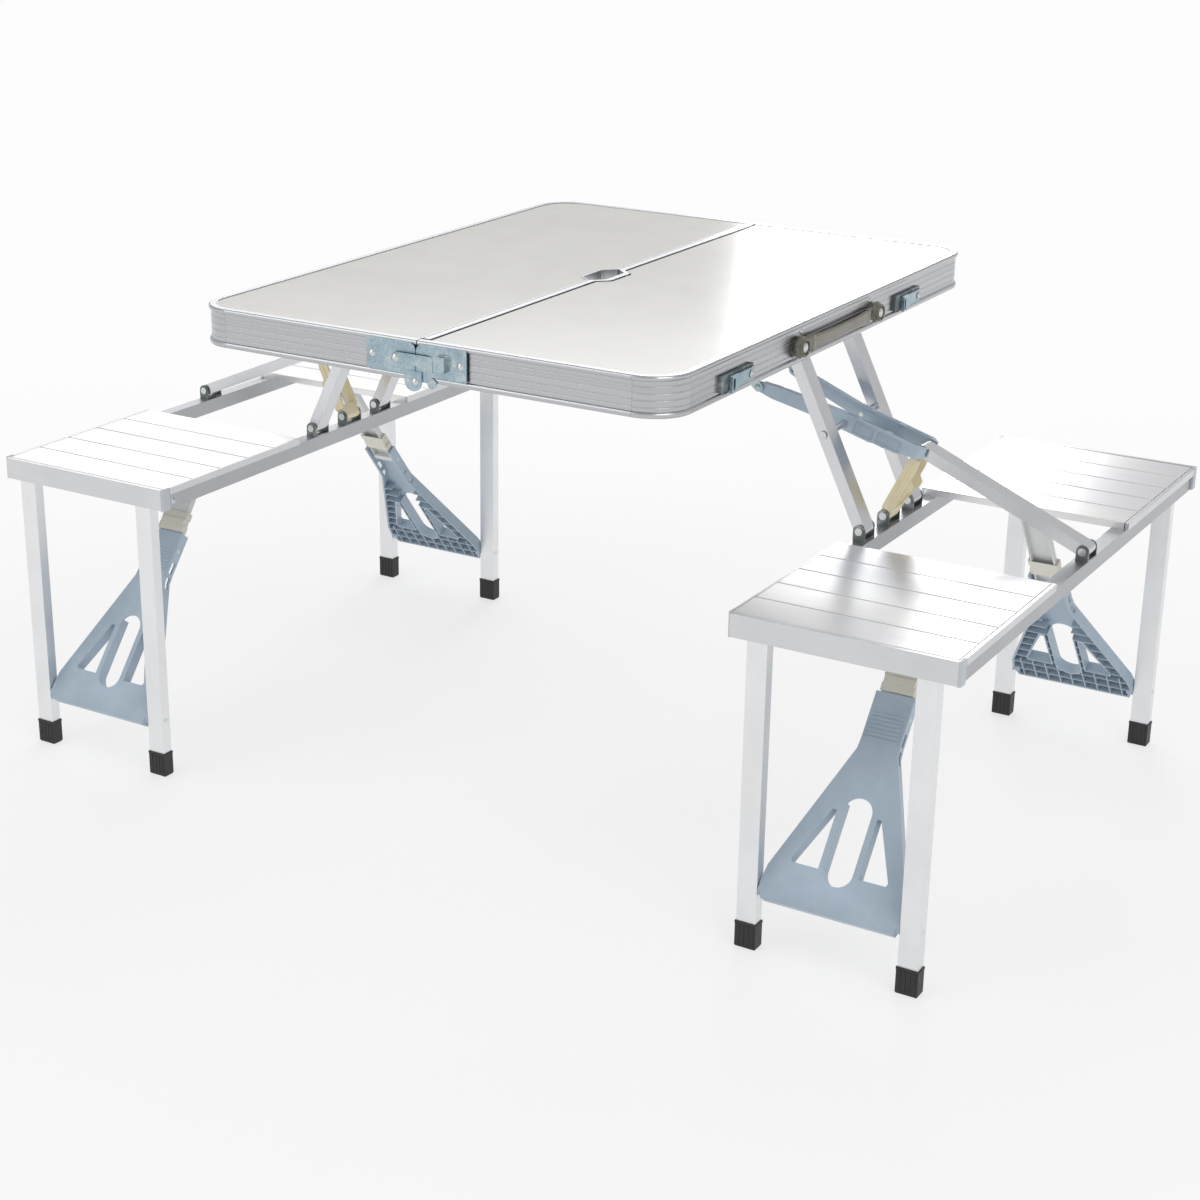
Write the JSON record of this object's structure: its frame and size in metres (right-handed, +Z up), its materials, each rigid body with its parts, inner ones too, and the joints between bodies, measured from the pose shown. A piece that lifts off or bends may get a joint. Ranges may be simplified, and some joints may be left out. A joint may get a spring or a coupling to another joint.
{
  "type": "folding picnic table with seats",
  "caption": "Folding picnic table: two-part white top in an aluminium rim, bench seats on hinged struts, folding tube legs with blue braces, side hooks and carry handle.",
  "frame": {"origin": "on the ground, under the middle of the table top", "axes": "+X along the split between the two halves, +Y towards the rear half, the front half has the handle and the latches, +Z up"},
  "size_m": [0.8736, 1.368, 0.665],
  "materials": {
    "panel_white": "satin coated sandwich panel",
    "rim_aluminium": "satin anodised, drawn bands",
    "zinc_plate": "zinc plated, bluish",
    "rivet_steel": "bright zinc",
    "latch_base": "dark zinc",
    "handle_plastic": "olive brown, slightly glossy",
    "rail_aluminium": "dull, extruded",
    "seat_aluminium": "brushed along the slats",
    "seat_end_aluminium": "satin",
    "cap_plastic": "light grey",
    "clevis_zinc": "dark zinc",
    "tube_aluminium": "satin",
    "blue_plastic": "moulded, fine grain",
    "cream_plastic": "moulded, smooth",
    "leg_aluminium": "satin, light",
    "foot_rubber": "matte",
    "stay_white": "light, powder finish",
    "ivory_plastic": "moulded, smooth"
  },
  "bodies": {
    "table_rear": {"rear_panel": "panel_white", "rear_rim": "rim_aluminium", "rear_hinge_plates": "zinc_plate", "rear_rivets": "rivet_steel", "latch_pegs": "zinc_plate", "rear_brackets": "zinc_plate"},
    "table_front": {"front_panel": "panel_white", "front_rim": "rim_aluminium", "front_hinge_plates": "zinc_plate", "front_rivets": "rivet_steel", "hook_catches": "zinc_plate", "latch_bases": "latch_base", "front_brackets": "zinc_plate"},
    "hook_left": {"hook_left": "zinc_plate"},
    "hook_right": {"hook_right": "zinc_plate"},
    "latch_hook_left": {"latch_hook_left": "zinc_plate"},
    "latch_hook_right": {"latch_hook_right": "zinc_plate"},
    "handle": {"handle": "handle_plastic"},
    "rear_seat_frame": {"rear_seat_rails": "rail_aluminium", "rear_seat_slats": "seat_aluminium", "rear_seat_ends": "seat_end_aluminium", "rear_seat_caps": "cap_plastic", "rear_seat_rivets": "rivet_steel", "rear_clevises": "clevis_zinc"},
    "rear_struts": {"rear_struts": "tube_aluminium"},
    "rear_beam": {"rear_beam": "blue_plastic"},
    "rear_links": {"rear_links": "zinc_plate"},
    "rear_stay_tube": {"rear_stay_tube": "tube_aluminium"},
    "rear_lock_lever": {"rear_lock_lever": "cream_plastic"},
    "rear_left_legs": {"rear_left_legs": "leg_aluminium", "rear_left_feet": "foot_rubber"},
    "rear_left_stay": {"rear_left_stay": "stay_white", "rear_left_slider": "ivory_plastic"},
    "rear_left_brace": {"rear_left_brace": "blue_plastic"},
    "rear_right_legs": {"rear_right_legs": "leg_aluminium", "rear_right_feet": "foot_rubber"},
    "rear_right_stay": {"rear_right_stay": "stay_white", "rear_right_slider": "ivory_plastic"},
    "rear_right_brace": {"rear_right_brace": "blue_plastic"},
    "front_seat_frame": {"front_seat_rails": "rail_aluminium", "front_seat_slats": "seat_aluminium", "front_seat_ends": "seat_end_aluminium", "front_seat_caps": "cap_plastic", "front_seat_rivets": "rivet_steel", "front_clevises": "clevis_zinc"},
    "front_struts": {"front_struts": "tube_aluminium"},
    "front_beam": {"front_beam": "blue_plastic"},
    "front_links": {"front_links": "zinc_plate"},
    "front_stay_tube": {"front_stay_tube": "tube_aluminium"},
    "front_lock_lever": {"front_lock_lever": "cream_plastic"},
    "front_left_legs": {"front_left_legs": "leg_aluminium", "front_left_feet": "foot_rubber"},
    "front_left_stay": {"front_left_stay": "stay_white", "front_left_slider": "ivory_plastic"},
    "front_left_brace": {"front_left_brace": "blue_plastic"},
    "front_right_legs": {"front_right_legs": "leg_aluminium", "front_right_feet": "foot_rubber"},
    "front_right_stay": {"front_right_stay": "stay_white", "front_right_slider": "ivory_plastic"},
    "front_right_brace": {"front_right_brace": "blue_plastic"}
  },
  "joints": [
    {"name": "table_fold", "type": "hinge", "parent": "table_rear", "child": "table_front", "pos_m": [0, 0, 0.617], "axis": [1, 0, 0], "range_deg": [0, 65]},
    {"name": "hook_left_swing", "type": "hinge", "parent": "table_rear", "child": "hook_left", "pos_m": [-0.4275, 0.026, 0.643], "axis": [-1, 0, 0], "range_deg": [0, 100]},
    {"name": "latch_left_swing", "type": "hinge", "parent": "table_front", "child": "latch_hook_left", "pos_m": [-0.243, -0.335, 0.634], "axis": [0, -1, 0], "range_deg": [0, 90]},
    {"name": "hook_right_swing", "type": "hinge", "parent": "table_rear", "child": "hook_right", "pos_m": [0.4275, 0.026, 0.643], "axis": [-1, 0, 0], "range_deg": [0, 100]},
    {"name": "latch_right_swing", "type": "hinge", "parent": "table_front", "child": "latch_hook_right", "pos_m": [0.243, -0.335, 0.634], "axis": [0, -1, 0], "range_deg": [0, 90]},
    {"name": "handle_lift", "type": "slide", "parent": "table_front", "child": "handle", "axis": [0, -1, 0], "range_m": [0, 0.004]},
    {"name": "rear_fold", "type": "hinge", "parent": "table_rear", "child": "rear_struts", "pos_m": [0, 0.3032, 0.649], "axis": [-1, 0, 0], "range_deg": [0, 115.94]},
    {"name": "rear_frame_level", "type": "hinge", "parent": "rear_struts", "child": "rear_seat_frame", "pos_m": [0, 0.418, 0.413], "axis": [1, 0, 0], "range_deg": [0, 117]},
    {"name": "rear_beam_turn", "type": "hinge", "parent": "rear_struts", "child": "rear_beam", "pos_m": [0, 0.3629, 0.52628], "axis": [-1, 0, 0], "range_deg": [0, 50]},
    {"name": "rear_stay_turn", "type": "hinge", "parent": "rear_seat_frame", "child": "rear_stay_tube", "pos_m": [0, 0.674, 0.413], "axis": [1, 0, 0], "range_deg": [0, 26]},
    {"name": "rear_links_turn", "type": "hinge", "parent": "table_rear", "child": "rear_links", "pos_m": [0, 0.1835, 0.6281], "axis": [1, 0, 0], "range_deg": [0, 52]},
    {"name": "rear_lever_turn", "type": "hinge", "parent": "rear_seat_frame", "child": "rear_lock_lever", "pos_m": [0, 0.418, 0.413], "axis": [-1, 0, 0], "range_deg": [0, 70]},
    {"name": "rear_left_legs_fold", "type": "hinge", "parent": "rear_seat_frame", "child": "rear_left_legs", "pos_m": [-0.408, 0.546, 0.39], "axis": [0, -1, 0], "range_deg": [0, 90]},
    {"name": "rear_left_stay_turn", "type": "hinge", "parent": "rear_seat_frame", "child": "rear_left_stay", "pos_m": [-0.16876, 0.546, 0.39], "axis": [0, 1, 0], "range_deg": [0, 54]},
    {"name": "rear_left_knee", "type": "hinge", "parent": "rear_left_stay", "child": "rear_left_brace", "pos_m": [-0.26327, 0.546, 0.2606], "axis": [0, -1, 0], "range_deg": [0, 183]},
    {"name": "rear_right_legs_fold", "type": "hinge", "parent": "rear_seat_frame", "child": "rear_right_legs", "pos_m": [0.408, 0.546, 0.39], "axis": [0, 1, 0], "range_deg": [0, 90]},
    {"name": "rear_right_stay_turn", "type": "hinge", "parent": "rear_seat_frame", "child": "rear_right_stay", "pos_m": [0.16876, 0.546, 0.39], "axis": [0, -1, 0], "range_deg": [0, 54]},
    {"name": "rear_right_knee", "type": "hinge", "parent": "rear_right_stay", "child": "rear_right_brace", "pos_m": [0.26327, 0.546, 0.2606], "axis": [0, 1, 0], "range_deg": [0, 183]},
    {"name": "front_fold", "type": "hinge", "parent": "table_front", "child": "front_struts", "pos_m": [0, -0.3032, 0.649], "axis": [1, 0, 0], "range_deg": [0, 115.94]},
    {"name": "front_frame_level", "type": "hinge", "parent": "front_struts", "child": "front_seat_frame", "pos_m": [0, -0.418, 0.413], "axis": [-1, 0, 0], "range_deg": [0, 117]},
    {"name": "front_beam_turn", "type": "hinge", "parent": "front_struts", "child": "front_beam", "pos_m": [0, -0.3629, 0.52628], "axis": [1, 0, 0], "range_deg": [0, 50]},
    {"name": "front_stay_turn", "type": "hinge", "parent": "front_seat_frame", "child": "front_stay_tube", "pos_m": [0, -0.674, 0.413], "axis": [-1, 0, 0], "range_deg": [0, 26]},
    {"name": "front_links_turn", "type": "hinge", "parent": "table_front", "child": "front_links", "pos_m": [0, -0.1835, 0.6281], "axis": [-1, 0, 0], "range_deg": [0, 52]},
    {"name": "front_lever_turn", "type": "hinge", "parent": "front_seat_frame", "child": "front_lock_lever", "pos_m": [0, -0.418, 0.413], "axis": [1, 0, 0], "range_deg": [0, 70]},
    {"name": "front_left_legs_fold", "type": "hinge", "parent": "front_seat_frame", "child": "front_left_legs", "pos_m": [-0.408, -0.546, 0.39], "axis": [0, -1, 0], "range_deg": [0, 90]},
    {"name": "front_left_stay_turn", "type": "hinge", "parent": "front_seat_frame", "child": "front_left_stay", "pos_m": [-0.16876, -0.546, 0.39], "axis": [0, 1, 0], "range_deg": [0, 54]},
    {"name": "front_left_knee", "type": "hinge", "parent": "front_left_stay", "child": "front_left_brace", "pos_m": [-0.26327, -0.546, 0.2606], "axis": [0, -1, 0], "range_deg": [0, 183]},
    {"name": "front_right_legs_fold", "type": "hinge", "parent": "front_seat_frame", "child": "front_right_legs", "pos_m": [0.408, -0.546, 0.39], "axis": [0, 1, 0], "range_deg": [0, 90]},
    {"name": "front_right_stay_turn", "type": "hinge", "parent": "front_seat_frame", "child": "front_right_stay", "pos_m": [0.16876, -0.546, 0.39], "axis": [0, -1, 0], "range_deg": [0, 54]},
    {"name": "front_right_knee", "type": "hinge", "parent": "front_right_stay", "child": "front_right_brace", "pos_m": [0.26327, -0.546, 0.2606], "axis": [0, 1, 0], "range_deg": [0, 183]}
  ],
  "couplings": [
    {"joint": "hook_left_swing", "follows": "table_fold", "ratio": 1.5},
    {"joint": "hook_right_swing", "follows": "table_fold", "ratio": 1.5},
    {"joint": "rear_frame_level", "follows": "rear_fold", "ratio": 1},
    {"joint": "rear_beam_turn", "follows": "rear_fold", "ratio": 0.41},
    {"joint": "rear_stay_turn", "follows": "rear_fold", "ratio": 0.21008},
    {"joint": "rear_links_turn", "follows": "rear_fold", "ratio": 0.44228},
    {"joint": "rear_lever_turn", "follows": "rear_fold", "ratio": 0.587},
    {"joint": "rear_left_stay_turn", "follows": "rear_left_legs_fold", "ratio": 0.5984},
    {"joint": "rear_left_knee", "follows": "rear_left_legs_fold", "ratio": 2.0251},
    {"joint": "rear_right_stay_turn", "follows": "rear_right_legs_fold", "ratio": 0.5984},
    {"joint": "rear_right_knee", "follows": "rear_right_legs_fold", "ratio": 2.0251},
    {"joint": "front_frame_level", "follows": "front_fold", "ratio": 1},
    {"joint": "front_beam_turn", "follows": "front_fold", "ratio": 0.41},
    {"joint": "front_stay_turn", "follows": "front_fold", "ratio": 0.21008},
    {"joint": "front_links_turn", "follows": "front_fold", "ratio": 0.44228},
    {"joint": "front_lever_turn", "follows": "front_fold", "ratio": 0.587},
    {"joint": "front_left_stay_turn", "follows": "front_left_legs_fold", "ratio": 0.5984},
    {"joint": "front_left_knee", "follows": "front_left_legs_fold", "ratio": 2.0251},
    {"joint": "front_right_stay_turn", "follows": "front_right_legs_fold", "ratio": 0.5984},
    {"joint": "front_right_knee", "follows": "front_right_legs_fold", "ratio": 2.0251}
  ]
}
